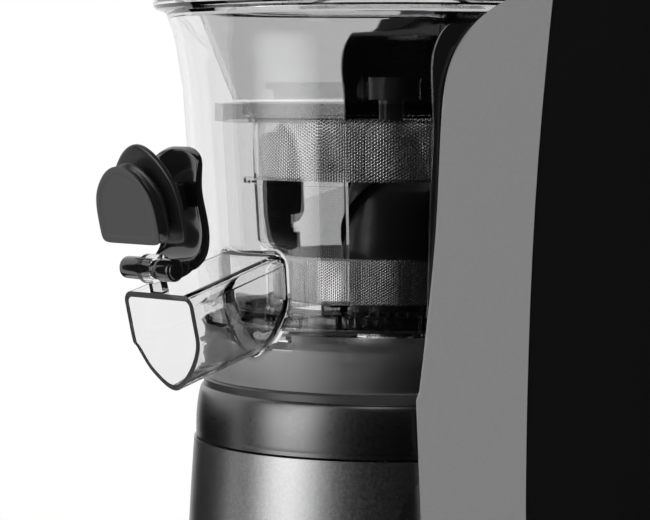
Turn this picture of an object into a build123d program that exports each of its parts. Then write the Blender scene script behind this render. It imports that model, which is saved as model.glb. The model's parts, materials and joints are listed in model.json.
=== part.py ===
from build123d import *
from math import acos, cos, pi, radians, sin, sqrt, tan
import os

# Vertical cold press juicer. Millimetres, +Z up. The origin is the point of the table under the
# bowl's axis; the front faces -Y. A bearing is counted from the front, towards +X.

# Heights above the table
SHELL_BOTTOM = 7.0
PLATE_BOTTOM, PLATE_TOP = 5.0, 9.0
BAND_BOTTOM, BAND_TOP = 140.8, 161.5
SEAT_TOP = 165.0
HUB_TOP = 176.0
FLOOR_BOTTOM, FLOOR_TOP = 184.0, 188.5
STRAINER_FLOOR = 194.5
RIM_BOTTOM, RIM_TOP = 312.2, 316.0
COLUMN_TOP = 326.0
DOME_TOP = 338.0
CHUTE_TOP = 440.0

# Plan sizes
REAR = 116.0
HOUSING_REAR = 33.0
WALL = 2.8
WING = 2.8
BOWL_WALL = 3.4
BAND_RADIUS_LOW, BAND_RADIUS_TOP = 79.8, 77.6
SEAT_RADIUS = 76.6
SKIRT_BORE = 70.5
SLEEVE_RADIUS, SLEEVE_BORE = 11.5, 9.5
FIT = 0.05
GAP = 0.4

# The wall of the lower housing, and of the bowl: radius, height
HOUSING_PROFILE = [(85.6, SHELL_BOTTOM), (84.7, 60), (82.8, 105.6), (80.6, BAND_BOTTOM - 0.8)]
BOWL_FOOT = (76.1, SEAT_TOP + 0.3)
BOWL_FLARE = [(83.7, 265), (84.6, 279), (86.6, 293), (89.0, 305), (91.2, 311)]
FLANGE_RADIUS = 96.6

# Half the width across the side panels, which lean out with the bowl: half width, height
SIDE_PROFILE = [
    (87.5, SHELL_BOTTOM), (86.0, 60), (84.0, 120), (85.5, 165),
    (88.6, 210), (92.6, 255), (97.2, 300), (99.5, COLUMN_TOP),
]
# Front and rear edges of the side panels: Y, height
WING_FRONT_LOW = [(-3.0, SHELL_BOTTOM), (-5.9, 126), (-7.8, 164)]
WING_FRONT = [
    (-6.6, 167.6), (-3.3, 202), (-1.3, 232), (-0.4, 270), (2.8, 292),
    (9.0, 303), (16.4, 310), (25.5, 315.5), (36.0, 320.5),
]
LINER_FRONT = [
    (-5.4, 167.6), (-3.6, 202), (-3.3, 240), (-3.3, 280), (-3.0, 297), (1.0, 304.5),
    (14.0, 309.0), (36.0, 312.5),
]
WING_REAR = [(41.0, COLUMN_TOP), (39.0, 299), (36.2, 247), (34.9, 187), (34.6, SHELL_BOTTOM)]

# Juice spout and its cap
SPOUT_BEARING, SPOUT_SLOPE, MOUTH_TILT = 34.5, 15.0, 13.5
MOUTH_REACH, MOUTH_HEIGHT = 127.0, 205.1
MOUTH_HALF, MOUTH_TALL, MOUTH_CORNER = 19.4, 38.3, 4.6
SPOUT_WALL, SPOUT_DRAFT, SPOUT_ROOT_FILLET = 2.2, 0.032, 3.0
HINGE_RISE, HINGE_SETBACK = 9.2, 1.1
BARREL_RADIUS, BARREL_LENGTH = 3.9, 31.4
CLIP_WIDTH, CLIP_WALL = 7.0, 1.7
# The shield's right side and the plug's: share of the half width, share of the height
SHIELD_SIDE = [(1.0, 0.42), (0.936, 0.561), (0.689, 0.757), (0.437, 0.888)]
ARCH_SIDE = [(1.0, 0.44), (0.93, 0.615), (0.672, 0.825), (0.415, 0.93)]
PLUG_HALF, PLUG_BOTTOM, PLUG_TOP = 16.3, 12.0, 41.8
FLANGE_FRONT, FLANGE_BACK = -1.35, -3.65
# The plug's lips and necks: distance out of the hinge's plane, inset
PLUG_STEPS = [(FLANGE_FRONT, 3.4), (2.4, 3.4), (2.8, 0.6), (3.3, 0.2), (3.9, 0.7), (5.6, 2.8),
              (7.0, 2.8), (7.8, 1.4), (8.3, 0.6), (8.8, 0.9)]
# The lever seen from its side: height over the hinge, distance out of its plane
LEVER_OUTER = [(-3.9, 0), (-3.6, -5), (-2.2, -12), (2.8, -17.4),
               (9, -19.2), (26, -19.3), (36, -21.4), (42.8, -23.8)]
LEVER_INNER = [(41.9, -20.8), (35.3, -18.3), (26, -16.1), (10, -16.0),
               (5.4, -14.6), (1.6, -10.5), (1.7, -5), (3.9, 0)]
# The right half of its head seen from the front
LEVER_HALF = 12.4
LEVER_HEAD = [(LEVER_HALF, 22), (13.1, 33), (11.7, 39.4), (7.2, 42.6)]

# Pulp chute
PULP_BEARING, PULP_SLOPE = -75.0, 8.5
PULP_INNER_WIDTH, PULP_INNER_HEIGHT = 22.0, 11.0

# Gears
MODULE, BOWL_MODULE, PRESSURE = 1.0, 1.25, 25.0
PINION_TEETH, WHEEL_TEETH = 12, 60
AUGER_TEETH, IDLER_TEETH, RING_TEETH = 24, 36, 96
BACKLASH = 0.16
ADDENDUM, DEDENDUM = 0.9, 1.2
COMPOUND_OFFSET = MODULE * (PINION_TEETH + WHEEL_TEETH) / 2
IDLER_OFFSET = BOWL_MODULE * (AUGER_TEETH + IDLER_TEETH) / 2
IDLER_RADIUS = BOWL_MODULE * (IDLER_TEETH / 2 + ADDENDUM)
GEAR_BOTTOM, GEAR_TOP = 189.3, 193.8

# Shafts
MOTOR_SHAFT, OUTPUT_SHAFT = 4.0, 7.5
HEX_SHAFT, HEX_SOCKET = 12.0, 12.6
SEAL_RADIUS = 12.5

# Lid, feed chute and gate
CHUTE_RADIUS, CHUTE_WALL = 44.0, 3.0
GATE_AXIS_Y, GATE_AXIS_Z = 49.0, 443.6

FAR = 600.0


def cylinder(radius, bottom, top, x=0.0, y=0.0):
    return Pos(x, y, (bottom + top) / 2) * Cylinder(radius, top - bottom)


def tube(outer, inner, bottom, top, x=0.0, y=0.0):
    return cylinder(outer, bottom, top, x, y) - cylinder(inner, bottom - 1, top + 1, x, y)


def block(x0, x1, y0, y1, z0, z1):
    return Pos((x0 + x1) / 2, (y0 + y1) / 2, (z0 + z1) / 2) * Box(x1 - x0, y1 - y0, z1 - z0)


def lathe(points):
    """The solid swept about Z by a closed outline of (radius, height) points."""
    outline = Polyline(*points, close=True)
    return revolve(Plane.XZ * make_face(outline), axis=Axis.Z)


def lathe_under(profile, inset=0.0):
    """The solid under a smooth profile of (radius, height) points, moved in by inset."""
    curve = Spline(*[(radius - inset, height) for radius, height in profile])
    foot, head = profile[0][1], profile[-1][1]
    rest = Polyline(curve @ 1, (0, head), (0, foot), curve @ 0)
    return revolve(Plane.XZ * make_face([curve, rest]), axis=Axis.Z)


def bowl_core(inset=0.0):
    """The solid inside the bowl's wall: straight and slightly tapered, with a flare at the top."""
    foot = (BOWL_FOOT[0] - inset, BOWL_FOOT[1])
    flare = [(radius - inset, height) for radius, height in BOWL_FLARE]
    wall = Line(foot, flare[0])
    curve = Spline(*flare, tangents=[wall % 1, (0.32, 1)])
    rest = Polyline(curve @ 1, (0, flare[-1][1]), (0, foot[1]), foot)
    return revolve(Plane.XZ * make_face([wall, curve, rest]), axis=Axis.Z)


def turned(shape, bearing):
    """A shape made facing the front, turned to a bearing."""
    return Rot(0, 0, bearing) * shape


def outward(bearing):
    """The level unit vector that points out along a bearing."""
    angle = radians(bearing)
    return Vector(sin(angle), -cos(angle), 0)


def hexagon(across_flats, bottom, top):
    sketch = RegularPolygon(across_flats / sqrt(3), 6)
    return extrude(Pos(0, 0, bottom) * sketch, top - bottom)


def write(name, shape):
    shape = Compound(children=list(shape)) if isinstance(shape, (list, tuple)) else shape
    shape.label = name
    export_step(shape, f"parts/{name}.step")


# ---------------------------------------------------------------- gears

def tooth_outline(teeth, module, phase, thicken, tip, root):
    """The closed outline of a gear with involute flanks, one tooth centred on the angle phase."""
    pitch_radius = module * teeth / 2
    base_radius = pitch_radius * cos(radians(PRESSURE))
    pressure = radians(PRESSURE)
    half_at_base = (pi * module / 2 + thicken) / (2 * pitch_radius) + tan(pressure) - pressure
    start = max(base_radius, root)
    steps = [start + (tip - start) * share for share in (0, 0.35, 0.7, 1)]

    def half_angle(radius):
        slope = acos(min(1.0, base_radius / radius))
        return half_at_base - (tan(slope) - slope)

    points = []
    for tooth in range(teeth):
        centre = radians(phase) + 2 * pi * tooth / teeth
        low = half_angle(start)
        side = [(root, low)] + [(radius, half_angle(radius)) for radius in steps]
        if root >= base_radius:
            side = side[1:]
        points += [(radius * cos(centre - half), radius * sin(centre - half)) for radius, half in side]
        points += [(radius * cos(centre + half), radius * sin(centre + half)) for radius, half in side[::-1]]
    return make_face(Polyline(*points, close=True))


def gear(teeth, module, phase, bottom, top):
    pitch_radius = module * teeth / 2
    tip, root = pitch_radius + ADDENDUM * module, pitch_radius - DEDENDUM * module
    face = tooth_outline(teeth, module, phase, -BACKLASH, tip, root)
    return extrude(Pos(0, 0, bottom) * face, top - bottom)


def ring_gear(teeth, module, phase, outer, bottom, top):
    """An internal gear; phase is the angle on which one of its tooth spaces is centred."""
    pitch_radius = module * teeth / 2
    tip, root = pitch_radius + DEDENDUM * module, pitch_radius - ADDENDUM * module
    space = tooth_outline(teeth, module, phase, BACKLASH, tip, root)
    return cylinder(outer, bottom, top) - extrude(Pos(0, 0, bottom - 1) * space, top - bottom + 2)


# ---------------------------------------------------------------- base and column

def side_slab(inset, front, back):
    """All that lies between the side panels, moved in by inset, from front to back."""
    half = Spline(*[(width - inset, height) for width, height in SIDE_PROFILE])
    foot, head = SIDE_PROFILE[0][1], SIDE_PROFILE[-1][1]
    rest = Polyline(half @ 1, (0, head), (0, foot), half @ 0)
    right = Plane.XZ * make_face([half, rest])
    solid = extrude(Pos(0, front, 0) * right, front - back)
    return solid + mirror(solid, Plane.YZ)


def wing_outline(forward, backward):
    """The side panel's outline seen from the side, as a solid through the whole width."""
    low = Spline(*[(y - forward, z) for y, z in WING_FRONT_LOW])
    front = Spline(*[(y - forward, z) for y, z in WING_FRONT])
    rear = Spline(*[(y + backward, z) for y, z in WING_REAR])
    joints = [Line(low @ 1, front @ 0), Line(front @ 1, rear @ 0), Line(rear @ 1, low @ 0)]
    face = Plane.YZ * make_face([low, front, rear] + joints)
    return extrude(face, FAR / 2, both=True)


def behind_wings(gap):
    """All that lies behind the rear edge of the side panels."""
    rear = Spline(*[(y + gap, z) for y, z in WING_REAR])
    rest = Polyline(rear @ 1, (FAR, SHELL_BOTTOM), (FAR, COLUMN_TOP), rear @ 0)
    return extrude(Plane.YZ * make_face([rear, rest]), FAR / 2, both=True)


def lower_housing():
    shell = lathe_under(HOUSING_PROFILE)
    shell += block(-FAR, FAR, 0, HOUSING_REAR, SHELL_BOTTOM, HOUSING_PROFILE[-1][1])
    shell &= side_slab(WING + GAP, -FAR, HOUSING_REAR)
    hollow = lathe_under(HOUSING_PROFILE, WALL)
    hollow += block(-FAR, FAR, 0, FAR, SHELL_BOTTOM - 1, BAND_BOTTOM)
    hollow &= side_slab(WING + GAP + WALL, -FAR, FAR)
    shell -= hollow
    shell -= Pos(0, -80, KNOB_HEIGHT) * Rot(90, 0, 0) * Cylinder(4.5, 30)
    return shell - Pos(0, -80, LENS_HEIGHT) * Rot(90, 0, 0) * Cylinder(LENS_RADIUS + FIT, 30)


def upper_band():
    """The band under the bowl, with the deck inside it and the hub that the output shaft comes out of."""
    outside = [
        (BAND_RADIUS_LOW, BAND_BOTTOM), (BAND_RADIUS_LOW - 0.3, BAND_BOTTOM + 10),
        (BAND_RADIUS_TOP + 0.3, BAND_TOP - 1.5), (BAND_RADIUS_TOP - 0.7, BAND_TOP),
    ]
    hub = [(28, BAND_TOP), (24, HUB_TOP), (SEAL_RADIUS, HUB_TOP), (SEAL_RADIUS, HUB_TOP - 5), (9, HUB_TOP - 5)]
    inside = [
        (9, BAND_TOP - 2), (24, BAND_TOP - 3), (BAND_RADIUS_TOP - 3.2, BAND_TOP - 3),
        (BAND_RADIUS_LOW - 3, BAND_BOTTOM),
    ]
    return lathe(outside + hub + inside)


def seat_ring():
    return lathe([
        (SEAT_RADIUS, BAND_TOP), (SEAT_RADIUS, SEAT_TOP - 0.8), (SEAT_RADIUS - 0.8, SEAT_TOP),
        (66.8, SEAT_TOP), (66, SEAT_TOP - 0.8), (66, BAND_TOP),
    ])


def side_panel(side):
    shell = side_slab(0, -40, 60) - side_slab(WING, -41, 61)
    half = block(0, FAR, -FAR, FAR, -FAR, FAR)
    return shell & wing_outline(0, 0) & (half if side > 0 else mirror(half, Plane.YZ))


def column_front():
    """The dark wall that curves round behind the bowl and steps out under its rim."""
    inner = [
        (79.4, BAND_TOP + 0.3), (87.0, 265), (87.4, 279), (90.0, 293),
        (92.6, 304), (100.0, 309.5), (100.0, COLUMN_TOP - 4),
    ]
    shell = lathe(inner + [(radius + WALL, height) for radius, height in inner[::-1]])
    shell &= side_slab(WING + GAP, -20, FAR)
    return shell & liner_outline()


def liner_outline():
    """All that lies behind the dark wall's front edge, which stays nearly upright under the bowl's rim."""
    low = Spline(*[(y + 1.2, z) for y, z in WING_FRONT_LOW])
    front = Spline(*LINER_FRONT)
    joint = Line(low @ 1, front @ 0)
    rest = Polyline(front @ 1, (FAR, LINER_FRONT[-1][1]), (FAR, SHELL_BOTTOM), low @ 0)
    return extrude(Plane.YZ * make_face([low, joint, front, rest]), FAR / 2, both=True)


def column_section(height, inset):
    """The column's plan at a height: straight sides and a rounded back."""
    half = interpolate(SIDE_PROFILE, height) - inset - 0.6
    back = REAR - inset
    corner = 52.0 - inset
    outline = RectangleRounded(2 * half, 2 * back, corner)
    return Pos(0, 0, height) * outline


def interpolate(profile, height):
    for (low_size, low), (high_size, high) in zip(profile, profile[1:]):
        if height <= high:
            share = (height - low) / (high - low)
            return low_size + (high_size - low_size) * share
    return profile[-1][0]


def column_solid(inset, bottom, top):
    heights = [bottom] + [height for _, height in SIDE_PROFILE if bottom < height < top] + [top]
    return loft([column_section(height, inset) for height in heights], ruled=True)


def back_cover():
    shell = column_solid(0, SHELL_BOTTOM, COLUMN_TOP)
    shell -= column_solid(WALL, SHELL_BOTTOM - 1, COLUMN_TOP + 1)
    shell &= behind_wings(GAP)
    return shell - Pos(0, REAR, GLAND_HEIGHT) * Rot(90, 0, 0) * Cylinder(GLAND_RADIUS + FIT, 20)


def column_top():
    """The lid of the column: a plate behind the bowl's rim, with a pad over the lock sensor."""
    rim_room = cylinder(100.4, 0, FAR)
    plate = column_solid(WALL + 0.3, COLUMN_TOP - 3.6, COLUMN_TOP - 0.2) - rim_room
    plate -= block(-FAR, FAR, -FAR, 43.0, 0, FAR)
    pad = column_solid(WALL + 0.3, COLUMN_TOP - 0.2, COLUMN_TOP + 2) - rim_room
    return plate + (pad & block(-14, 14, 0, FAR, 0, FAR))


def base_plate():
    """The closed underside, with slots through which the fan draws its air."""
    half, thickness = 81, PLATE_TOP - PLATE_BOTTOM
    front = cylinder(half + 1, PLATE_BOTTOM, PLATE_TOP) & block(-half, half, -FAR, FAR, 0, FAR)
    middle = block(-half, half, 0, 60, PLATE_BOTTOM, PLATE_TOP)
    rear = Pos(0, 0, PLATE_BOTTOM) * extrude(RectangleRounded(2 * half, 2 * (REAR - 3.6), 48), thickness)
    plate = front + middle + (rear & block(-half, half, 20, REAR, 0, FAR))
    for x in VENT_SLOTS:
        plate -= block(x - 1.75, x + 1.75, -24, 24, 0, FAR)
    for x, y in FEET + SCREWS:
        plate -= cylinder(4.0, 0, FAR, x, y)
    return plate


FEET = [(0, 0), (-54, -48), (54, -48), (-62, 84), (62, 84)]
SCREWS = [(-66, 8), (66, 8), (-30, 100), (30, 100)]
VENT_SLOTS = (-40, -32, -24, -16, 16, 24, 32, 40)


def rubber_feet():
    return [cylinder(9, 0, PLATE_BOTTOM, x, y) + cylinder(4, PLATE_BOTTOM, PLATE_TOP, x, y) for x, y in FEET]


def base_screws():
    return [cylinder(4, PLATE_BOTTOM + 1, PLATE_TOP, x, y) + cylinder(2, PLATE_TOP, PLATE_TOP + 10, x, y)
            for x, y in SCREWS]


# ---------------------------------------------------------------- motor and gears

STATOR_RADIUS, STATOR_BORE, ROTOR_RADIUS = 46.0, 22.6, 22.0
STACK_BOTTOM, STACK_TOP = 38.0, 70.0
SLOTS = 24
BEARING_608 = (11.0, 4.0, 7.0)
BEARING_6002 = (16.0, 7.5, 9.0)
LOWER_BEARING, UPPER_BEARING = 14.0, 75.0
OUTPUT_BEARINGS = (115.0, 129.0)
CASE_FLOOR, CASE_TOP = 84.0, 112.0
CASE_RADIUS, CASE_WALL = 36.0, 2.6
COMPOUND_RADIUS = 34.5


def motor_stator():
    stack = tube(STATOR_RADIUS, STATOR_BORE, STACK_BOTTOM, STACK_TOP)
    for index in range(SLOTS):
        slot = block(26, 36, -1.6, 1.6, STACK_BOTTOM - 1, STACK_TOP + 1)
        stack -= Rot(0, 0, index * 360 / SLOTS) * slot
    return stack


def motor_windings():
    """The coil heads above and below the stack, joined by a bar in every slot."""
    heads = tube(40, 27, STACK_TOP + 0.2, STACK_TOP + 4.6)
    heads += tube(40, 27, STACK_BOTTOM - 5, STACK_BOTTOM - 0.2)
    for index in range(SLOTS):
        heads += Rot(0, 0, index * 360 / SLOTS) * block(27.5, 35, -1.2, 1.2, STACK_BOTTOM - 2, STACK_TOP + 2)
    return heads


def motor_bracket():
    outer, _, width = BEARING_608
    cup = tube(outer + 3, outer, LOWER_BEARING, LOWER_BEARING + width)
    cup += tube(outer + 3, 5.5, 11, LOWER_BEARING)
    plate = tube(STATOR_RADIUS + 2, outer + 2, 11, 14)
    for index in range(4):
        plate += Rot(0, 0, 45 + 90 * index) * cylinder(3.5, 11, STACK_BOTTOM, STATOR_RADIUS - 2.5, 0)
        plate += Rot(0, 0, 45 + 90 * index) * cylinder(5, PLATE_TOP, 11, STATOR_RADIUS - 2.5, 0)
    for index in range(6):
        plate -= Rot(0, 0, 60 * index) * cylinder(7, 0, 20, 28, 0)
    return cup + plate


def bearing(size, bottom):
    """The two rings of a ball bearing with its balls between them."""
    outer, bore, width = size
    race = (outer - bore) / 3
    middle = (outer + bore) / 2
    top = bottom + width
    rings = tube(outer, outer - race, bottom, top) + tube(bore + race, bore, bottom, top)
    cage = tube(middle + race / 2 + 0.01, middle - race / 2 - 0.01, bottom + 1.2, top - 1.2)
    return rings + cage


def rotor_core():
    return tube(ROTOR_RADIUS, MOTOR_SHAFT, STACK_BOTTOM - 1, STACK_TOP + 1)


def motor_shaft():
    shaft = cylinder(MOTOR_SHAFT - FIT, LOWER_BEARING - 2, UPPER_BEARING + 9)
    core_seat = cylinder(MOTOR_SHAFT, 24, STACK_TOP + 1.5)
    pinion = gear(PINION_TEETH, MODULE, COMPOUND_ANGLE, 86, 95)
    return shaft + core_seat + cylinder(MOTOR_SHAFT - FIT, UPPER_BEARING + 9, 86) + pinion


COMPOUND_ANGLE = 90.0


def cooling_fan():
    disc = tube(30, MOTOR_SHAFT, 24, 25.5) + tube(8, MOTOR_SHAFT, 24, 31)
    for index in range(9):
        disc += Rot(0, 0, 40 * index) * block(10, 29, -0.8, 0.8, 25.5, 31)
    return disc


def gear_case():
    """The cup that holds the two gear stages, with the upper motor bearing in its floor."""
    outer, _, width = BEARING_608

    def hull(grow, bottom, top):
        side, centre = COMPOUND_RADIUS + grow, COMPOUND_OFFSET
        return (cylinder(CASE_RADIUS + grow, bottom, top) + cylinder(side, bottom, top, 0, centre)
                + block(-side, side, 0, centre, bottom, top))

    case = hull(CASE_WALL, CASE_FLOOR - 2.4, CASE_TOP) - hull(0, CASE_FLOOR, CASE_TOP + 1)
    case += cylinder(outer + 2.6, UPPER_BEARING, CASE_FLOOR)
    case -= cylinder(outer, UPPER_BEARING - 1, UPPER_BEARING + width) + cylinder(5.5, 0, FAR)
    case -= cylinder(4, CASE_FLOOR - 1.2, CASE_FLOOR + 1, 0, COMPOUND_OFFSET)
    for index in range(4):
        leg = cylinder(3, STACK_TOP, CASE_FLOOR - 1, STATOR_RADIUS - 2.5, 0)
        arm = block(30, STATOR_RADIUS - 2.5, -3, 3, CASE_FLOOR - 2.4, CASE_FLOOR - 0.4)
        case += Rot(0, 0, 45 + 90 * index) * (leg + arm)
    return case


def gear_cover():
    outer, _, width = BEARING_6002
    plate = cylinder(CASE_RADIUS + CASE_WALL, CASE_TOP, CASE_TOP + 3)
    plate += cylinder(COMPOUND_RADIUS + CASE_WALL, CASE_TOP, CASE_TOP + 3, 0, COMPOUND_OFFSET)
    plate += cylinder(outer + 3, CASE_TOP, OUTPUT_BEARINGS[1] + width)
    plate -= cylinder(outer, OUTPUT_BEARINGS[0], FAR) + cylinder(OUTPUT_SHAFT + 1, 0, FAR)
    plate += tube(outer, outer - 2, OUTPUT_BEARINGS[0] + width, OUTPUT_BEARINGS[1])
    plate -= cylinder(4, 0, CASE_TOP + 1.5, 0, COMPOUND_OFFSET)
    for index in range(4):
        rib = block(outer + 2, CASE_RADIUS, -1.2, 1.2, CASE_TOP + 3, CASE_TOP + 14)
        plate += Rot(0, 0, 45 + 90 * index) * rib
    return plate


def compound_pin():
    return cylinder(4, CASE_FLOOR - 1.2, CASE_TOP + 1.5, 0, COMPOUND_OFFSET)


def compound_gear():
    half_pitch = 180 / WHEEL_TEETH
    wheel = gear(WHEEL_TEETH, MODULE, COMPOUND_ANGLE + 180 + half_pitch, 87, 94)
    pinion = gear(PINION_TEETH, MODULE, COMPOUND_ANGLE + 180 + 180 / PINION_TEETH, 94, 110)
    boss = cylinder(4.75, 84.4, 87)
    return Pos(0, COMPOUND_OFFSET, 0) * (wheel + pinion + boss) - cylinder(4 + FIT, 0, FAR, 0, COMPOUND_OFFSET)


def output_gear():
    wheel = gear(WHEEL_TEETH, MODULE, COMPOUND_ANGLE, 101, 109)
    for index in range(6):
        wheel -= Rot(0, 0, 60 * index + 30) * cylinder(5, 0, FAR, 19, 0)
    return wheel + cylinder(11.5, 99, 111) - cylinder(OUTPUT_SHAFT, 0, FAR)


def output_shaft():
    seated = cylinder(OUTPUT_SHAFT, 99, 111.5)
    running = cylinder(OUTPUT_SHAFT - FIT, 111.5, HUB_TOP + 1)
    return seated + running + hexagon(HEX_SHAFT, HUB_TOP + 1, 205)


def shaft_seal():
    return tube(SEAL_RADIUS, OUTPUT_SHAFT, HUB_TOP - 5, HUB_TOP - 0.5)


# ---------------------------------------------------------------- electrics and controls

KNOB_HEIGHT, KNOB_RADIUS, KNOB_BACK = 60.0, 17.0, -86.2
LENS_HEIGHT, LENS_RADIUS = 92.0, 2.5
GLAND_HEIGHT, GLAND_RADIUS, CORD_RADIUS = 24.0, 8.0, 3.6


def along_front(radius, near, far, height):
    """A bar that runs from y = near back to y = far."""
    return Pos(0, (near + far) / 2, height) * Rot(90, 0, 0) * Cylinder(radius, abs(far - near))


def control_knob():
    body = along_front(KNOB_RADIUS, KNOB_BACK - 13, KNOB_BACK, KNOB_HEIGHT)
    body = chamfer(body.edges().group_by(Axis.Y)[0], 1.5)
    grip = block(-3.2, 3.2, KNOB_BACK - 17, KNOB_BACK - 12, KNOB_HEIGHT - 15, KNOB_HEIGHT + 15)
    stem = along_front(3.0, KNOB_BACK, -64, KNOB_HEIGHT)
    return body + grip + stem


def rotary_switch():
    case = block(-13, 13, -76, -58, KNOB_HEIGHT - 13, KNOB_HEIGHT + 13)
    collar = along_front(6, -79.5, -76, KNOB_HEIGHT)
    tabs = [block(x - 1.5, x + 1.5, -58, -52, KNOB_HEIGHT - 1, KNOB_HEIGHT + 1) for x in (-7.5, 7.5)]
    return case + collar + tabs - along_front(3.0 + FIT, -90, -62, KNOB_HEIGHT)


def indicator_lens():
    front = along_front(LENS_RADIUS, -84.2, -78, LENS_HEIGHT)
    return front + along_front(LENS_RADIUS + 1.2, -79.8, -77.5, LENS_HEIGHT)


def control_board():
    """The motor's board on end, with a choke, a relay, a heat sink and two capacitors."""
    front = 95.0
    board = block(-32, 32, front, front + 1.6, 40, 104)
    for x0, x1, depth, z0, z1 in [(-24, -6, 9, 60, 76), (4, 16, 11, 48, 62), (6, 26, 6, 78, 96),
                                  (-21, -15, 5, 84, 98), (-9, -3, 5, 84, 98)]:
        board += block(x0, x1, front - depth, front + 0.01, z0, z1)
    return board


def motor_capacitor():
    return cylinder(13, 12, 52, -46, 62) + block(-50, -42, 60.5, 63.5, 52, 57)


def lock_sensor():
    return block(-9, 9, 104, 111.5, COLUMN_TOP - 12, COLUMN_TOP - 4)


def cord_gland():
    body = along_front(GLAND_RADIUS, REAR - 14, REAR + 6, GLAND_HEIGHT)
    collar = along_front(GLAND_RADIUS + 2.5, REAR, REAR + 4, GLAND_HEIGHT)
    nut = along_front(GLAND_RADIUS + 2.5, REAR - 8, REAR - 4, GLAND_HEIGHT)
    return body + collar + nut - along_front(CORD_RADIUS, REAR - 30, REAR + 30, GLAND_HEIGHT)


# ---------------------------------------------------------------- bowl and spout

def mouth_plane():
    """The plane of the spout's mouth: x across, y up the mouth, origin at the middle of its top edge."""
    out = outward(SPOUT_BEARING)
    tilt = radians(MOUTH_TILT)
    normal = out * cos(tilt) - Vector(0, 0, sin(tilt))
    across = Vector(cos(radians(SPOUT_BEARING)), sin(radians(SPOUT_BEARING)), 0)
    origin = out * MOUTH_REACH + Vector(0, 0, MOUTH_HEIGHT)
    return Plane(origin=origin, x_dir=across, z_dir=normal)


def hinge_plane():
    """The mouth's plane moved to the hinge: z is the way the plug faces when the cap is open."""
    mouth = mouth_plane()
    centre = mouth.origin + mouth.y_dir * HINGE_RISE - mouth.z_dir * HINGE_SETBACK
    return Plane(origin=centre, x_dir=mouth.x_dir, z_dir=mouth.z_dir)


def shield(half, height, corner):
    """A shield: its flat top edge on y = 0, straight sides, and a rounded point below."""
    right = [(half * across, -height * down) for across, down in SHIELD_SIDE]
    points = right + [(0, -height)] + [(-x, y) for x, y in right[::-1]]
    curve = Spline(*points, tangents=[(0, -1), (0, 1)])
    rest = Polyline(curve @ 1, (-half, 0), (half, 0), curve @ 0)
    face = make_face([curve, rest])
    return fillet(face.vertices().group_by(Axis.Y)[-1], corner)


def spout_section(inset, back):
    """The spout's outline, or its hollow's, at a distance back from the mouth."""
    half = MOUTH_HALF - inset - SPOUT_DRAFT * back
    outline = Pos(0, -inset, 0) * shield(half, MOUTH_TALL - 2 * inset, MOUTH_CORNER - inset)
    slope = radians(SPOUT_SLOPE)
    way = Vector(0, 0, sin(slope)) - outward(SPOUT_BEARING) * cos(slope)
    mouth = mouth_plane()
    return Plane(origin=mouth.origin + way * back, x_dir=mouth.x_dir, z_dir=mouth.z_dir) * outline


def spout_solid(inset, ahead, length):
    """The slanted tube behind the mouth, or its hollow, from ahead of the mouth back into the bowl."""
    return loft([spout_section(inset, -ahead), spout_section(inset, length)], ruled=True)


def pulp_duct(grow, start, end):
    """The slanted square duct under the floor on the left side, or its hollow."""
    slope = radians(PULP_SLOPE)
    width, height = PULP_INNER_WIDTH + 2 * grow, PULP_INNER_HEIGHT + 2 * grow
    length = (end - start) / cos(slope)
    middle = (start + end) / 2
    height_at = 175.2 - (middle - 76) * tan(slope)
    duct = Pos(0, -middle, height_at) * Rot(PULP_SLOPE, 0, 0) * Box(width, length, height)
    return turned(duct, PULP_BEARING)


def bowl():
    """The clear bowl in one moulding: wall, floor, skirt, shaft sleeve, spout, pulp duct and cap clip."""
    neck_radius, neck = BOWL_FLARE[-1]
    outside = bowl_core() + lathe([
        (0, neck), (neck_radius, neck), (92.6, RIM_BOTTOM), (95.6, RIM_BOTTOM + 1),
        (FLANGE_RADIUS, RIM_BOTTOM + 2.4), (FLANGE_RADIUS, RIM_TOP), (0, RIM_TOP),
    ])
    inside = bowl_core(BOWL_WALL) & cylinder(FAR, FLOOR_TOP, FAR)
    inside += cylinder(neck_radius - BOWL_WALL, neck - 0.5, FAR)
    solid = outside + (spout_solid(0, 0, 64) - cylinder(72, 0, FAR))
    solid = fillet([edge for edge in solid.edges() if at_spout_root(edge)], SPOUT_ROOT_FILLET)
    solid -= inside + cylinder(SKIRT_BORE, 0, FLOOR_BOTTOM)
    solid += pulp_duct(2, 33, 106) & cylinder(FAR, 0, FLOOR_BOTTOM + 0.5)
    solid -= spout_solid(SPOUT_WALL, 1, 78) - cylinder(66, 0, FAR) - cylinder(74.4, 0, FLOOR_TOP)
    solid -= pulp_duct(0, 35, 108)
    solid -= turned(block(-10, 10, -46, -36, 176, FLOOR_TOP + 1), PULP_BEARING)
    solid += tube(SLEEVE_RADIUS, SLEEVE_BORE, FLOOR_BOTTOM - 4, 200)
    solid -= cylinder(SLEEVE_BORE, 0, 210)
    solid -= turned(block(-9, 9, -62, -52, 180, 200), CLEAN_BEARING)
    solid -= cylinder(3.0, FLOOR_TOP - 2.5, 200, 0, IDLER_OFFSET)
    return solid + cap_clip()


CLEAN_BEARING = -150.0


def at_spout_root(edge):
    """True for an edge that lies on the bowl's outer wall, round the root of the spout."""
    (foot_radius, foot), (neck_radius, neck) = BOWL_FOOT, BOWL_FLARE[0]
    for share in (0.1, 0.5, 0.9):
        point = edge @ share
        wall = foot_radius + (neck_radius - foot_radius) * (point.Z - foot) / (neck - foot)
        beside = Vector(point.X, point.Y, 0).get_angle(outward(SPOUT_BEARING))
        on_wall = abs(Vector(point.X, point.Y, 0).length - wall) < 0.2
        if not (on_wall and beside < 25 and foot + 1 < point.Z < neck - 25):
            return False
    return True


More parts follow.
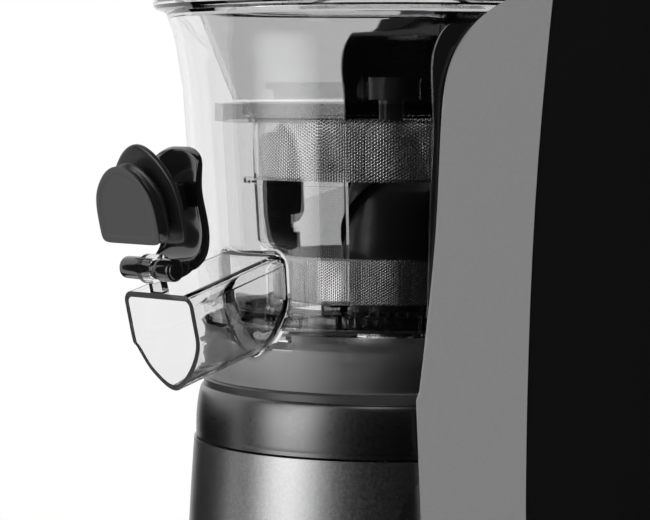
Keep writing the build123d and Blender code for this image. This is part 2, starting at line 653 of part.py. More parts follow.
def cap_clip():
    """The clip that the cap's barrel snaps into, on a tab that stands on the spout."""
    bore = BARREL_RADIUS + FIT
    ring = Cylinder(bore + CLIP_WALL, CLIP_WIDTH) - Cylinder(bore, CLIP_WIDTH + 2)
    ring -= Pos(0, bore + 2, 0) * Box(1.24 * bore, 2 * bore, CLIP_WIDTH + 4)
    ring = hinge_plane() * Rot(0, 90, 0) * Rot(0, 0, -90) * ring
    tall = HINGE_RISE - BARREL_RADIUS
    tab = mouth_plane() * Pos(0, tall / 2 - 0.8, -1.6) * Box(CLIP_WIDTH, tall, 3.2)
    return ring + (tab - hinge_plane() * Rot(0, 90, 0) * Cylinder(bore, 40))


def bowl_seal():
    ring = tube(70.4, 66.5, FLOOR_BOTTOM - 3, FLOOR_BOTTOM - 0.1)
    return ring - pulp_duct(2.4, 30, 110)


def clean_plug():
    plug = block(-8.9, 8.9, -61.9, -52.1, FLOOR_BOTTOM - 2, FLOOR_TOP)
    return turned(plug + block(-11, 11, -64, -50, FLOOR_BOTTOM - 3, FLOOR_BOTTOM - 0.1), CLEAN_BEARING)


def strainer_frame():
    """The cup round the auger, open at its windows where the steel mesh shows."""
    outer = [(51, FLOOR_TOP + 0.3), (51, 216), (56, 220), (57.6, 246), (58.2, 270), (60.5, 271), (60.5, 276)]
    inner = [
        (58.2, 276), (56.0, 270), (55.4, 246), (53.8, 220), (48.8, 216), (48.8, STRAINER_FLOOR + 2.4),
        (17.2, STRAINER_FLOOR + 2.4), (17.2, STRAINER_FLOOR), (48.8, STRAINER_FLOOR), (48.8, FLOOR_TOP + 0.3),
    ]
    frame = lathe(outer + inner)
    frame += lathe([(57, 243.6), (60.2, 243.6), (60.2, 245.4), (57, 245.4)])
    for index in range(6):
        frame -= turned(upper_window(), UPPER_WINDOW + 60 * index)
    for index in range(16):
        frame -= turned(window(17.0, 50, 197.6, 214.4), LOWER_WINDOW + 22.5 * index)
    for index in range(32):
        frame -= turned(window(5.6, 50, 0, 191.5), LOWER_WINDOW + 11.25 * index)
    frame -= cylinder(IDLER_RADIUS + 0.6, 0, STRAINER_FLOOR, 0, IDLER_OFFSET)
    return frame - turned(block(-9, 9, -46, -34, 180, 205), PULP_BEARING)


UPPER_WINDOW, LOWER_WINDOW = 84.0, 73.0


def window(degrees_wide, radius, bottom, top):
    half = radius * tan(radians(degrees_wide / 2))
    return block(-half, half, -FAR / 4, -radius + 12, bottom, top)


def upper_window():
    half = 56 * sin(radians(16.5))
    outline = Pos(0, 257.2) * Rectangle(2 * half, 21.6)
    outline = fillet(outline.vertices().group_by(Axis.Y)[-1], 5.5)
    outline = fillet(outline.vertices().group_by(Axis.Y)[0], 1.5)
    return extrude(Plane.XZ * outline, FAR / 4) & block(-FAR, FAR, -FAR, -40, 0, FAR)


def upper_mesh():
    return lathe([(55.25, 245.2), (54.75, 245.2), (55.3, 269.2), (55.8, 269.2)])


def lower_mesh():
    return lathe([(48.7, 197.2), (48.2, 197.2), (48.2, 215), (48.7, 215)])


def auger():
    """The screw: a slim core with two wings wound round it, over a hexagonal socket."""
    bore = SLEEVE_RADIUS + 0.5
    core = lathe([
        (0, 184.5), (SLEEVE_BORE - GAP, 184.5), (SLEEVE_BORE - GAP, 200.5), (bore, 200.5), (bore, GEAR_TOP),
        (16.6, GEAR_TOP), (16.6, STRAINER_FLOOR + 3), (19, 201), (19.5, 216), (17, 240), (11, 262), (5, 264),
        (5, 284), (4, 285), (0, 285),
    ])
    blade = make_face(Rectangle(110, 3.4).edges()).face()
    wings = Pos(0, 0, 199) * Solid.extrude_linear_with_rotation(blade, (0, 0, 0), (0, 0, 60), WING_TWIST)
    envelope = lathe([
        (0, 199), (47.4, 199), (47.4, 215.4), (51.6, 219.6), (53.4, 240), (40, 252), (20, 258), (0, 258),
    ])
    envelope -= cylinder(15, 0, 201)
    solid = core + (wings & envelope)
    return solid - hexagon(HEX_SOCKET, 180, 206.5)


WING_TWIST = 200.0


def auger_gear():
    ring = gear(AUGER_TEETH, BOWL_MODULE, IDLER_ANGLE, GEAR_BOTTOM, GEAR_TOP)
    return ring - cylinder(SLEEVE_RADIUS + 0.5, 0, FAR)


IDLER_ANGLE = 90.0


def idler_pin():
    return cylinder(3.0, FLOOR_TOP - 2.5, GEAR_TOP + 0.3, 0, IDLER_OFFSET)


def idler_gear():
    half_pitch = 180 / IDLER_TEETH
    wheel = gear(IDLER_TEETH, BOWL_MODULE, IDLER_ANGLE + 180 + half_pitch, GEAR_BOTTOM, GEAR_TOP)
    return Pos(0, IDLER_OFFSET, 0) * wheel - cylinder(3.0 + FIT, 0, FAR, 0, IDLER_OFFSET)


BRUSH_TOP, BRUSH_RING = 275.6, 268.5
POST_INNER, POST_OUTER = 68.6, 71.6
WIDE_POSTS, NARROW_POSTS, WIPER_POSTS = (18.5, 198.5), (59.5, 239.5), (124.0, 304.0)
POSTS = [(bearing, 17.0) for bearing in WIDE_POSTS] + [(bearing, 8.5) for bearing in NARROW_POSTS]
POSTS += [(bearing, 7.0) for bearing in WIPER_POSTS]
# A wiper seen from outside: distance round, height
WIPER_OUTLINE = [
    (8.7, 211.5), (-7.3, 211.5), (-7.3, 220.2), (-3.9, 220.2), (-3.9, 224.4), (-7.3, 225),
    (-10.1, 228.7), (-10.1, 243), (-8.5, 256), (-5, 263), (-1, 265.7), (3.7, 265.7), (8, 263.5),
    (11.5, 259), (13, 250), (13, 228),
]


def post(degrees_wide):
    """An upright of the brush frame that follows the bowl's slope."""
    lean, foot, head = 4.4, GEAR_TOP - 1, BRUSH_RING + 1
    wall = lathe([
        (POST_INNER - lean, foot), (POST_OUTER - lean, foot), (POST_OUTER, head), (POST_INNER, head),
    ])
    half = POST_OUTER * sin(radians(degrees_wide / 2))
    return wall & block(-half, half, -FAR, 0, 0, FAR)


def brush_frame():
    frame = tube(POST_OUTER + 0.3, POST_INNER, BRUSH_RING, BRUSH_TOP)
    half_pitch = 180 / RING_TEETH
    frame += ring_gear(RING_TEETH, BOWL_MODULE, IDLER_ANGLE + half_pitch, 69.6, GEAR_BOTTOM, GEAR_TOP)
    for bearing_angle, degrees_wide in POSTS:
        frame += turned(post(degrees_wide), bearing_angle)
    return frame


def wiper_blades():
    """Two soft blades between the brush frame and the strainer, each with a notch and a round head."""
    band = lathe([(62.0, 211), (65.1, 211), (68.2, 266), (65.0, 266)])
    outline = make_face(Polyline(*WIPER_OUTLINE, close=True))
    blade = band & extrude(Plane.XZ * outline, FAR / 4)
    return [turned(blade, bearing_angle) for bearing_angle in WIPER_POSTS]


# ---------------------------------------------------------------- spout cap

def cap_lever():
    """Made in the hinge's own frame: x along the barrel, y up the open cap, z out of the spout."""
    outer, inner = Spline(*LEVER_OUTER), Spline(*LEVER_INNER)
    side = make_face([outer, Line(outer @ 1, inner @ 0), inner, Line(inner @ 1, outer @ 0)])
    arm = extrude(Plane.YZ * side, LEVER_HALF + 2, both=True)
    left = [(-x, y) for x, y in LEVER_HEAD[::-1]]
    head = Spline(*LEVER_HEAD, (0, 43.4), *left, tangents=[(0, 1), (0, -1)])
    rest = Polyline(head @ 1, (-LEVER_HALF, -9), (LEVER_HALF, -9), head @ 0)
    arm &= extrude(make_face([head, rest]), FAR / 4, both=True)
    arm -= Box(CLIP_WIDTH + 1.6, 15, 16)
    stem = block(-7, 7, 17.5, 30.5, LEVER_OUTER[5][1] + 2, FLANGE_BACK)
    barrel = Rot(0, 90, 0) * Cylinder(BARREL_RADIUS, BARREL_LENGTH)
    return hinge_plane() * (barrel + arm + stem)


def arch(inset):
    """The plug's outline at one of its steps: flat below, straight sides, round above."""
    half, bottom, top = PLUG_HALF - inset, PLUG_BOTTOM + inset, PLUG_TOP - inset
    right = [(half * across, bottom + (top - bottom) * up) for across, up in ARCH_SIDE]
    curve = Spline(*right, (0, top), *[(-x, y) for x, y in right[::-1]], tangents=[(0, 1), (0, -1)])
    rest = Polyline(curve @ 1, (-0.94 * half, bottom), (0.94 * half, bottom), curve @ 0)
    face = make_face([curve, rest])
    return fillet(face.vertices().group_by(Axis.Y)[0], 2.6)


def cap_plug():
    """The soft plug: a flange that closes on the mouth, and two lips that fill the spout."""
    outline = Rot(0, 0, 180) * shield(MOUTH_HALF - 0.3, MOUTH_TALL - 0.5, MOUTH_CORNER)
    flange = extrude(Pos(0, HINGE_RISE + 0.2, FLANGE_BACK) * outline, FLANGE_FRONT - FLANGE_BACK)
    lips = loft([Pos(0, 0, out) * arch(inset) for out, inset in PLUG_STEPS], ruled=True)
    recess = extrude(Pos(0, 0, PLUG_STEPS[-1][0] - 0.35) * arch(3.0), 1)
    return hinge_plane() * (flange + lips - recess)


# ---------------------------------------------------------------- lid, chute and gate

SKIRT_TOP_RADIUS, SKIRT_LOW_RADIUS, SKIRT_BOTTOM = 77.4, 64.5, 277.0
CHUTE_BORE = CHUTE_RADIUS - CHUTE_WALL
BUSH_RADIUS = 9.0


def lid():
    """The clear lid: a dome with a collar for the chute, a skirt inside the bowl, spokes and a lug."""
    collar = CHUTE_RADIUS + FIT
    shell = lathe([
        (FLANGE_RADIUS, RIM_TOP + 1.2), (FLANGE_RADIUS, RIM_TOP + 4), (FLANGE_RADIUS - 3, RIM_TOP + 7),
        (70, DOME_TOP - 6), (CHUTE_RADIUS + 4, DOME_TOP), (CHUTE_RADIUS + 4, DOME_TOP + 8),
        (collar, DOME_TOP + 8), (collar, DOME_TOP - 3), (67, DOME_TOP - 9), (84, RIM_TOP + 4),
        (SKIRT_TOP_RADIUS - 1, RIM_TOP - 3), (SKIRT_LOW_RADIUS - 2.6, SKIRT_BOTTOM),
        (SKIRT_LOW_RADIUS, SKIRT_BOTTOM), (SKIRT_TOP_RADIUS + 2, RIM_TOP - 2), (86, RIM_TOP + 1.2),
    ])
    lug = block(-12, 12, 92, 111, RIM_TOP + 13.2, RIM_TOP + 17.2)
    lug += block(-12, 12, 84, 94.5, RIM_TOP + 1.2, RIM_TOP + 17.2)
    lug -= block(-13, 13, 70, 93, RIM_TOP - 10, RIM_TOP + 5)
    lug -= cylinder(4.0, RIM_TOP + 12, RIM_TOP + 15.2, 0, 106)
    spokes = cylinder(BUSH_RADIUS + 3, SKIRT_BOTTOM, 286)
    for index in range(3):
        spokes += turned(block(-2, 2, -63.6, 0, SKIRT_BOTTOM + 0.5, 284), 30 + 120 * index)
    solid = shell + (lug - cylinder(84, 0, FAR)) + spokes
    return solid - cylinder(BUSH_RADIUS, 0, FAR)


def lid_bush():
    return tube(BUSH_RADIUS, 5 + FIT, SKIRT_BOTTOM, 286)


def lid_gasket():
    return tube(FLANGE_RADIUS - 2, 88.4, RIM_TOP, RIM_TOP + 1.2)


def lid_magnet():
    return cylinder(4.0, RIM_TOP + 13.2, RIM_TOP + 15.2, 0, 106)


def feed_chute():
    lip = CHUTE_RADIUS + 3
    body = lathe([
        (CHUTE_RADIUS, DOME_TOP - 2.4), (CHUTE_RADIUS, 412), (lip, 420), (lip, CHUTE_TOP),
        (CHUTE_RADIUS, CHUTE_TOP), (CHUTE_RADIUS, 421), (CHUTE_BORE, 413), (CHUTE_BORE, DOME_TOP - 2.4),
    ])
    for x in (-13, 13):
        ear = block(x - 3, x + 3, CHUTE_RADIUS + 1, GATE_AXIS_Y + 3.6, 425, GATE_AXIS_Z)
        ear += Pos(x, GATE_AXIS_Y, GATE_AXIS_Z) * Rot(0, 90, 0) * Cylinder(3.6, 6)
        body += ear - block(-FAR, FAR, -FAR, CHUTE_RADIUS + 1, CHUTE_TOP, FAR)
    return body - Pos(0, GATE_AXIS_Y, GATE_AXIS_Z) * Rot(0, 90, 0) * Cylinder(1.5, 60)


def gate_pin():
    return Pos(0, GATE_AXIS_Y, GATE_AXIS_Z) * Rot(0, 90, 0) * Cylinder(1.5, 36)


def feed_gate():
    plate = lathe([(0, CHUTE_TOP + 0.5), (CHUTE_RADIUS + 2, CHUTE_TOP + 0.5), (CHUTE_RADIUS + 3, CHUTE_TOP + 2),
                   (CHUTE_RADIUS, CHUTE_TOP + 5), (0, CHUTE_TOP + 7)])
    plate -= block(-17, 17, GATE_AXIS_Y - 4.4, FAR, 0, FAR)
    plug = lathe([
        (CHUTE_RADIUS - 1, CHUTE_TOP + 1), (CHUTE_RADIUS - 3.5, CHUTE_TOP - 6),
        (CHUTE_RADIUS - 6, CHUTE_TOP - 6), (CHUTE_RADIUS - 4, CHUTE_TOP + 1),
    ])
    plug -= block(-FAR, FAR, 30, FAR, 0, CHUTE_TOP)
    knuckle = block(-9.4, 9.4, GATE_AXIS_Y - 9, GATE_AXIS_Y, GATE_AXIS_Z - 2.6, GATE_AXIS_Z + 2.6)
    knuckle += Pos(0, GATE_AXIS_Y, GATE_AXIS_Z) * Rot(0, 90, 0) * Cylinder(3.4, 18.8)
    knuckle -= block(-FAR, FAR, -FAR, GATE_AXIS_Y - 1, 0, CHUTE_TOP + 0.5)
    thumb = Pos(0, -CHUTE_RADIUS - 2, CHUTE_TOP + 2.5) * Cylinder(9, 3)
    solid = plate + plug + knuckle + (thumb - cylinder(CHUTE_RADIUS - 3, 0, FAR))
    return solid - Pos(0, GATE_AXIS_Y, GATE_AXIS_Z) * Rot(0, 90, 0) * Cylinder(1.5 + FIT, 60)


def main():
    os.makedirs("parts", exist_ok=True)
    write("lower_housing", lower_housing())
    write("upper_band", upper_band())
    write("seat_ring", seat_ring())
    write("side_panel_right", side_panel(1))
    write("side_panel_left", side_panel(-1))
    write("column_front", column_front())
    write("back_cover", back_cover())
    write("column_top", column_top())
    write("base_plate", base_plate())
    write("rubber_feet", rubber_feet())
    write("base_screws", base_screws())
    write("motor_stator", motor_stator())
    write("motor_windings", motor_windings())
    write("motor_bracket", motor_bracket())
    write("motor_bearings", [bearing(BEARING_608, LOWER_BEARING), bearing(BEARING_608, UPPER_BEARING)])
    write("rotor_core", rotor_core())
    write("motor_shaft", motor_shaft())
    write("cooling_fan", cooling_fan())
    write("gear_case", gear_case())
    write("gear_cover", gear_cover())
    write("compound_pin", compound_pin())
    write("compound_gear", compound_gear())
    write("output_gear", output_gear())
    write("output_shaft", output_shaft())
    write("output_bearings", [bearing(BEARING_6002, height) for height in OUTPUT_BEARINGS])
    write("shaft_seal", shaft_seal())
    write("control_knob", control_knob())
    write("rotary_switch", rotary_switch())
    write("indicator_lens", indicator_lens())
    write("control_board", control_board())
    write("motor_capacitor", motor_capacitor())
    write("lock_sensor", lock_sensor())
    write("cord_gland", cord_gland())
    write("bowl", bowl())
    write("bowl_seal", bowl_seal())
    write("clean_plug", clean_plug())
    write("strainer_frame", strainer_frame())
    write("upper_mesh", upper_mesh())
    write("lower_mesh", lower_mesh())
    write("auger", auger())
    write("auger_gear", auger_gear())
    write("idler_pin", idler_pin())
    write("idler_gear", idler_gear())
    write("brush_frame", brush_frame())
    write("wiper_blades", wiper_blades())
    write("cap_lever", cap_lever())
    write("cap_plug", cap_plug())
    write("lid", lid())
    write("lid_bush", lid_bush())
    write("lid_gasket", lid_gasket())
    write("lid_magnet", lid_magnet())
    write("feed_chute", feed_chute())
    write("gate_pin", gate_pin())
    write("feed_gate", feed_gate())


if __name__ == "__main__":
    main()
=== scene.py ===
import json
import math

import bmesh
import bpy
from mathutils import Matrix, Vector


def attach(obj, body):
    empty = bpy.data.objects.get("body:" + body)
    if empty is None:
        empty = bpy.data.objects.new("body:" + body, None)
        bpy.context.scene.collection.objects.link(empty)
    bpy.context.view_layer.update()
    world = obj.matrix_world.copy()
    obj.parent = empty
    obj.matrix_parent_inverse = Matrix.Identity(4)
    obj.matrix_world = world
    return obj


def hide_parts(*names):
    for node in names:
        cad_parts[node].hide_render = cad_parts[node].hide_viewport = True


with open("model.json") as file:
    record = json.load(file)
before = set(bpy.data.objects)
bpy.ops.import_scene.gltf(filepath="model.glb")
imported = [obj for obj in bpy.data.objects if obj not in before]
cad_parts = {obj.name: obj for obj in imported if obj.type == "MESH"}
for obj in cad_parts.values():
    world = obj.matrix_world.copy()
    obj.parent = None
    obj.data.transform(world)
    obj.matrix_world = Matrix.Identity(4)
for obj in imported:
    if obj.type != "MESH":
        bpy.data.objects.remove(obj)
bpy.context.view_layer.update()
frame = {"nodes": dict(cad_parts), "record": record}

MM = 0.001

# Greys and colours, as they look under plain white light
WHITE = (1.0, 1.0, 1.0)
BLACK = (0.006, 0.006, 0.0065)
SATIN_BLACK = (0.022, 0.022, 0.023)
RUBBER_GREY = (0.055, 0.055, 0.056)
PLUG_BLACK = (0.014, 0.014, 0.0145)
# The plug's face is painted lighter than the rest of the plug: painted light on the side that faces the front
# lamp.
PLUG_FACE_PAINTED_LIGHT = (0.040, 0.040, 0.041)
PANEL_GREY = (0.37, 0.37, 0.375)
HOUSING_GREY = (0.34, 0.34, 0.345)
BAND_GREY = (0.14, 0.14, 0.142)
SEAT_GREY = (0.03, 0.03, 0.031)
STEEL = (0.62, 0.62, 0.62)
IVORY = (0.72, 0.70, 0.64)
COPPER = (0.62, 0.25, 0.10)
BOARD = (0.02, 0.16, 0.06)
LENS_BLUE = (0.5, 0.7, 0.9)

# The share of the light that one wall of each see-through plastic lets pass
CLEAR = (0.90, 0.90, 0.90)
FROST = (0.72, 0.72, 0.73)
LIP = (0.85, 0.85, 0.855)
SMOKE = (0.80, 0.80, 0.803)
LID_SMOKE = (0.78, 0.78, 0.783)
BRUSH_SMOKE = (0.85, 0.85, 0.852)
BRUSH_RING_SMOKE = (0.62, 0.62, 0.622)
BRUSH_TEETH_SMOKE = (0.35, 0.35, 0.352)

# How much clear and thin plastic bend the light, and the share of a lamp's light that passes them
CLEAR_INDEX, THIN_INDEX = 1.46, 1.02
CLEAR_LAMP_SHARE, THIN_LAMP_SHARE = 0.94, 0.97

# The spout's mouth: its bearing and its tilt in degrees, and the middle of its top edge in metres
MOUTH_BEARING, MOUTH_TILT = 34.5, 13.5
MOUTH_DISTANCE, MOUTH_TOP = 0.127, 0.2051

# Where a finish changes on a piece, in metres: heights, and distances from the bowl's axis
BOWL_FLOOR = 0.187
SKIRT_REACH = 0.0779
SPOUT_HALF_WIDTH, SPOUT_UNDERSIDE = 0.019, 0.1805
SPOUT_END_REACH = 0.1
BRUSH_RING_UNDERSIDE, BRUSH_TEETH_TOP = 0.268, 0.2
AUGER_CORE_RADIUS = 0.0205

# The same, from the middle of the mouth's top edge: how far ahead of the mouth, or up along it
LIP_BEHIND, LIP_ABOVE = -0.0001, 0.0002
PLUG_FACE_AHEAD = 0.0073

# The screens' holes, as shares of their pitch: from column to column, and the sunk rim round each hole
COLUMN_WIDTH = math.sqrt(0.75)
RIM_REACH, RIM_ROUNDING, RIM_DEPTH = 0.44, 0.08, 0.4


def around(bearing, distance, height):
    """A point round the bowl's axis: bearing 0 is in front, 90 to the right."""
    angle = math.radians(bearing)
    return Vector((distance * math.sin(angle), -distance * math.cos(angle), height))


lean = math.radians(MOUTH_TILT)
MOUTH_POINT = around(MOUTH_BEARING, MOUTH_DISTANCE, MOUTH_TOP)
MOUTH_NORMAL = around(MOUTH_BEARING, math.cos(lean), -math.sin(lean))
MOUTH_UP = around(MOUTH_BEARING, math.sin(lean), math.cos(lean))
MOUTH_ACROSS = around(MOUTH_BEARING + 90, 1, 0)


# ---------------------------------------------------------------- materials

class Wire:
    """One value inside a material. Sums of wires and numbers add the nodes that work them out."""

    def __init__(self, finish, socket):
        self.finish, self.socket = finish, socket

    def calc(self, operation, *others):
        """A Math node on this value and any others."""
        return self.finish.maths(operation, self, *others)

    def __add__(self, other):
        return self.calc("ADD", other)

    def __radd__(self, other):
        return self.finish.maths("ADD", other, self)

    def __sub__(self, other):
        return self.calc("SUBTRACT", other)

    def __rsub__(self, other):
        return self.finish.maths("SUBTRACT", other, self)

    def __mul__(self, other):
        return self.calc("MULTIPLY", other)

    def __rmul__(self, other):
        return self.finish.maths("MULTIPLY", other, self)

    def __truediv__(self, other):
        return self.calc("DIVIDE", other)

    def __lt__(self, limit):
        """1 below the limit, 0 above it."""
        return self.calc("LESS_THAN", limit)

    def __gt__(self, limit):
        """1 above the limit, 0 below it."""
        return self.calc("GREATER_THAN", limit)


class Finish:
    """A material, or the world, and the nodes it is made of."""

    def __init__(self, name, kind=bpy.data.materials):
        self.owner = kind.new(name)
        self.owner.use_nodes = True
        self.tree = self.owner.node_tree
        self.tree.nodes.clear()

    def node(self, kind, settings=(), sockets=(), output=0):
        """Adds a node: its settings first, then the values or wires of its sockets."""
        made = self.tree.nodes.new(kind)
        for name, value in dict(settings).items():
            setattr(made, name, value)
        for name, value in dict(sockets).items():
            if isinstance(value, Wire):
                self.tree.links.new(value.socket, made.inputs[name])
            else:
                made.inputs[name].default_value = value
        return Wire(self, made.outputs[output]) if made.outputs else None

    def maths(self, operation, *values):
        return self.node("ShaderNodeMath", {"operation": operation}, dict(enumerate(values)))

    def vectors(self, operation, *values, output=0):
        return self.node("ShaderNodeVectorMath", {"operation": operation}, dict(enumerate(values)), output)

    def place(self):
        """Where the point is, in metres in the shared frame."""
        return self.node("ShaderNodeTexCoord", output="Object")

    def part(self, place, axis):
        """One axis of a place."""
        return self.node("ShaderNodeSeparateXYZ", {}, {0: place}, output=axis)

    def height(self):
        """The height over the worktop."""
        return self.part(self.place(), "Z")

    def reach(self):
        """The distance from the bowl's axis."""
        flat = self.vectors("MULTIPLY", self.place(), (1, 1, 0))
        return self.vectors("LENGTH", flat, output="Value")

    def along(self, vector, direction):
        """How far a vector goes in a direction."""
        return self.vectors("DOT_PRODUCT", vector, direction, output="Value")

    def from_mouth(self):
        """The way from the middle of the mouth's top edge."""
        return self.vectors("SUBTRACT", self.place(), MOUTH_POINT)

    def noise(self, scale, detail=2.0, roughness=0.5, stretch=(1, 1, 1)):
        """Even noise with so many cells to the metre, drawn out along an axis by a small stretch."""
        where = self.vectors("MULTIPLY", self.place(), stretch)
        return self.node("ShaderNodeTexNoise", {}, {
            "Vector": where, "Scale": scale, "Detail": detail, "Roughness": roughness,
        })

    def blend(self, amount, low, high):
        """A colour between low and high, each a wire or three numbers."""
        low, high = (end if isinstance(end, Wire) else (*end, 1) for end in (low, high))
        return self.node("ShaderNodeMix", {"data_type": "RGBA"}, {0: amount, 6: low, 7: high}, output=2)

    def bump(self, height, depth, strength=1.0):
        return self.node("ShaderNodeBump", {}, {"Height": height, "Distance": depth, "Strength": strength})

    def coat(self, **sockets):
        """The main shader; a socket's name is written with _ for a space."""
        return self.node("ShaderNodeBsdfPrincipled", {}, {k.replace("_", " "): v for k, v in sockets.items()})

    def show(self, shader, output="ShaderNodeOutputMaterial"):
        self.node(output, {}, {"Surface": shader})
        return self.owner

    def light_passes(self, shader, tint):
        """The shader, except that lamps shine through it."""
        lamp_ray = self.node("ShaderNodeLightPath", output="Is Shadow Ray")
        open_way = self.node("ShaderNodeBsdfTransparent", {}, {"Color": (*tint, 1)})
        return self.node("ShaderNodeMixShader", {}, {0: lamp_ray, 1: shader, 2: open_way})

    def seen_ray(self):
        """1 for what shows directly, in a reflection or through clear plastic."""
        kinds = ("Is Camera Ray", "Is Glossy Ray", "Is Transmission Ray")
        direct, mirrored, through = (self.node("ShaderNodeLightPath", output=kind) for kind in kinds)
        return direct + mirrored + through


def shaded(colour, factor):
    """The colour, darker or lighter by a factor."""
    return tuple(channel * factor for channel in colour)


def moulded(name, colour, roughness, texture=0.00002, coat=0.0):
    """Moulded plastic: fine spark texture, slightly uneven gloss."""
    finish = Finish(name)
    spark = finish.noise(1500.0, 3.0, 0.6)
    cloud = finish.noise(18.0)
    return finish.show(finish.coat(
        Base_Color=finish.blend(cloud, shaded(colour, 0.9), shaded(colour, 1.12)),
        Roughness=roughness + (spark - 0.5) * 0.10 + (cloud - 0.5) * 0.06,
        Normal=finish.bump(spark, texture),
        Coat_Weight=coat, Coat_Roughness=0.06,
    ))


def satin_metal(name, colour, roughness, metallic, sparkle, depth=0.00004):
    """Blasted metal with a fine bright grain."""
    finish = Finish(name)
    grain = finish.noise(2400.0, 2.0, 0.7)
    coarse = finish.noise(700.0, 2.0, 0.5)
    cloud = finish.noise(12.0)
    glint = (grain - 0.5) * sparkle + (coarse - 0.5) * (0.4 * sparkle) + 0.5
    return finish.show(finish.coat(
        Base_Color=finish.blend(glint, shaded(colour, 0.55), shaded(colour, 1.45)),
        Metallic=metallic,
        Roughness=roughness + (coarse - 0.5) * 0.12 + (cloud - 0.5) * 0.04,
        Normal=finish.bump(grain, depth, 0.6),
    ))


def brushed(name, colour, roughness, stretch=(1, 1, 0.02)):
    """Drawn or ground metal, its lines along the axis that is stretched."""
    finish = Finish(name)
    lines = finish.noise(900.0, 3.0, 0.6, stretch)
    cloud = finish.noise(25.0)
    return finish.show(finish.coat(
        Base_Color=finish.blend(cloud, shaded(colour, 0.85), colour),
        Metallic=1.0,
        Roughness=roughness + (lines - 0.5) * 0.2,
        Normal=finish.bump(lines, 0.00003),
    ))


def clear_plastic():
    """Clear plastic with the faint waves that moulding leaves."""
    finish = Finish("clear_plastic")
    waves = finish.noise(45.0, 1.0)
    haze = finish.noise(160.0, 3.0)
    shader = finish.coat(
        Base_Color=finish.blend(haze, shaded(CLEAR, 0.985), CLEAR),
        Roughness=0.01 + (haze - 0.5) * 0.005,
        Transmission_Weight=1.0, IOR=CLEAR_INDEX,
        Normal=finish.bump(waves, 0.00004, 0.5),
    )
    return finish.show(finish.light_passes(shader, shaded(CLEAR, CLEAR_LAMP_SHARE)))


def bowl_plastic():
    """Clear plastic, frosted on the skirt under the floor and on the cut face of the spout's mouth."""
    finish = Finish("bowl_plastic")
    waves = finish.noise(45.0, 1.0)
    haze = finish.noise(160.0, 3.0)
    height, reach, from_mouth = finish.height(), finish.reach(), finish.from_mouth()
    across = finish.along(finish.place(), MOUTH_ACROSS)
    spout = (across * across < SPOUT_HALF_WIDTH ** 2) * (height > SPOUT_UNDERSIDE)
    skirt = (height < BOWL_FLOOR) * (reach < SKIRT_REACH) * (1 - spout)
    ahead, above = finish.along(from_mouth, MOUTH_NORMAL), finish.along(from_mouth, MOUTH_UP)
    lip = (ahead > LIP_BEHIND) * (reach > SPOUT_END_REACH) * (above < LIP_ABOVE)
    frost = skirt.calc("MAXIMUM", lip)
    shader = finish.coat(
        Base_Color=finish.blend(frost, CLEAR, finish.blend(lip, FROST, LIP)),
        Roughness=0.01 + (haze - 0.5) * 0.005 + frost * 0.38,
        Transmission_Weight=1.0, IOR=CLEAR_INDEX,
        Normal=finish.bump(waves, 0.00004, 0.5),
    )
    return finish.show(finish.light_passes(shader, shaded(CLEAR, CLEAR_LAMP_SHARE)))


def tinted(name, tint, roughness, ring_tint=None, teeth_tint=None):
    """Thin smoky plastic that hardly bends the light: each wall only dims what is behind it."""
    finish = Finish(name)
    haze = finish.noise(160.0, 3.0)
    waves = finish.noise(60.0, 1.0)
    colour = finish.blend(haze, shaded(tint, 0.97), tint)
    if ring_tint:
        height = finish.height()
        colour = finish.blend(height > BRUSH_RING_UNDERSIDE, colour, ring_tint)
        colour = finish.blend(height < BRUSH_TEETH_TOP, colour, teeth_tint)
    shader = finish.coat(
        Base_Color=colour, Roughness=haze * roughness,
        Transmission_Weight=1.0, IOR=THIN_INDEX,
        Normal=finish.bump(waves, 0.00003, 0.5),
    )
    return finish.show(finish.light_passes(shader, shaded(tint, THIN_LAMP_SHARE)))


def plug_silicone():
    """Soft silicone: the face that closes the spout is matt and painted lighter, as painted light where it
    turns towards the lamp; the lips behind it are polished.
    """
    finish = Finish("plug_silicone")
    spark = finish.noise(1500.0, 3.0, 0.6)
    cloud = finish.noise(30.0)
    face = finish.along(finish.from_mouth(), MOUTH_NORMAL) > PLUG_FACE_AHEAD
    return finish.show(finish.coat(
        # The face's lighter colour is painted light: the lit face is painted lighter than the lips.
        Base_Color=finish.blend(face * (0.9 + cloud * 0.1), PLUG_BLACK, PLUG_FACE_PAINTED_LIGHT),
        Roughness=0.26 + face * 0.3 + (spark - 0.5) * 0.08,
        Normal=finish.bump(spark, 0.000008),
    ))


def screen(name, columns, pitch, hole):
    """Etched steel sheet: round holes in staggered columns, so many round the screen, with sunk rims."""
    finish = Finish(name)
    place = finish.place()
    angle = finish.part(place, "Y").calc("ARCTAN2", finish.part(place, "X"))
    column = angle * (columns / math.tau)
    stagger = column.calc("FLOOR").calc("FLOORED_MODULO", 2.0) * 0.5
    across = (column.calc("FRACT") - 0.5) * COLUMN_WIDTH
    up = (finish.part(place, "Z") / pitch + stagger).calc("FRACT") - 0.5
    distance = (across * across + up * up).calc("SQRT")
    return finish.show(finish.coat(
        Base_Color=(*shaded(STEEL, 1.3), 1), Metallic=1.0, Roughness=0.15,
        Alpha=distance > hole / pitch / 2,
        Normal=finish.bump(distance.calc("SMOOTH_MIN", RIM_REACH, RIM_ROUNDING), pitch * RIM_DEPTH),
    ))


def auger_plastic():
    """Dark plastic in the core, nearly clear in the wings outside it."""
    finish = Finish("auger_plastic")
    spark = finish.noise(1200.0)
    return finish.show(finish.coat(
        Base_Color=(*SATIN_BLACK, 1), Roughness=0.3 + (spark - 0.5) * 0.1,
        Alpha=(finish.reach() < AUGER_CORE_RADIUS) * 0.9 + 0.1,
        Normal=finish.bump(spark, 0.00002),
    ))


GLOSS_BLACK = moulded("gloss_black", BLACK, 0.12, texture=0.000004, coat=0.6)

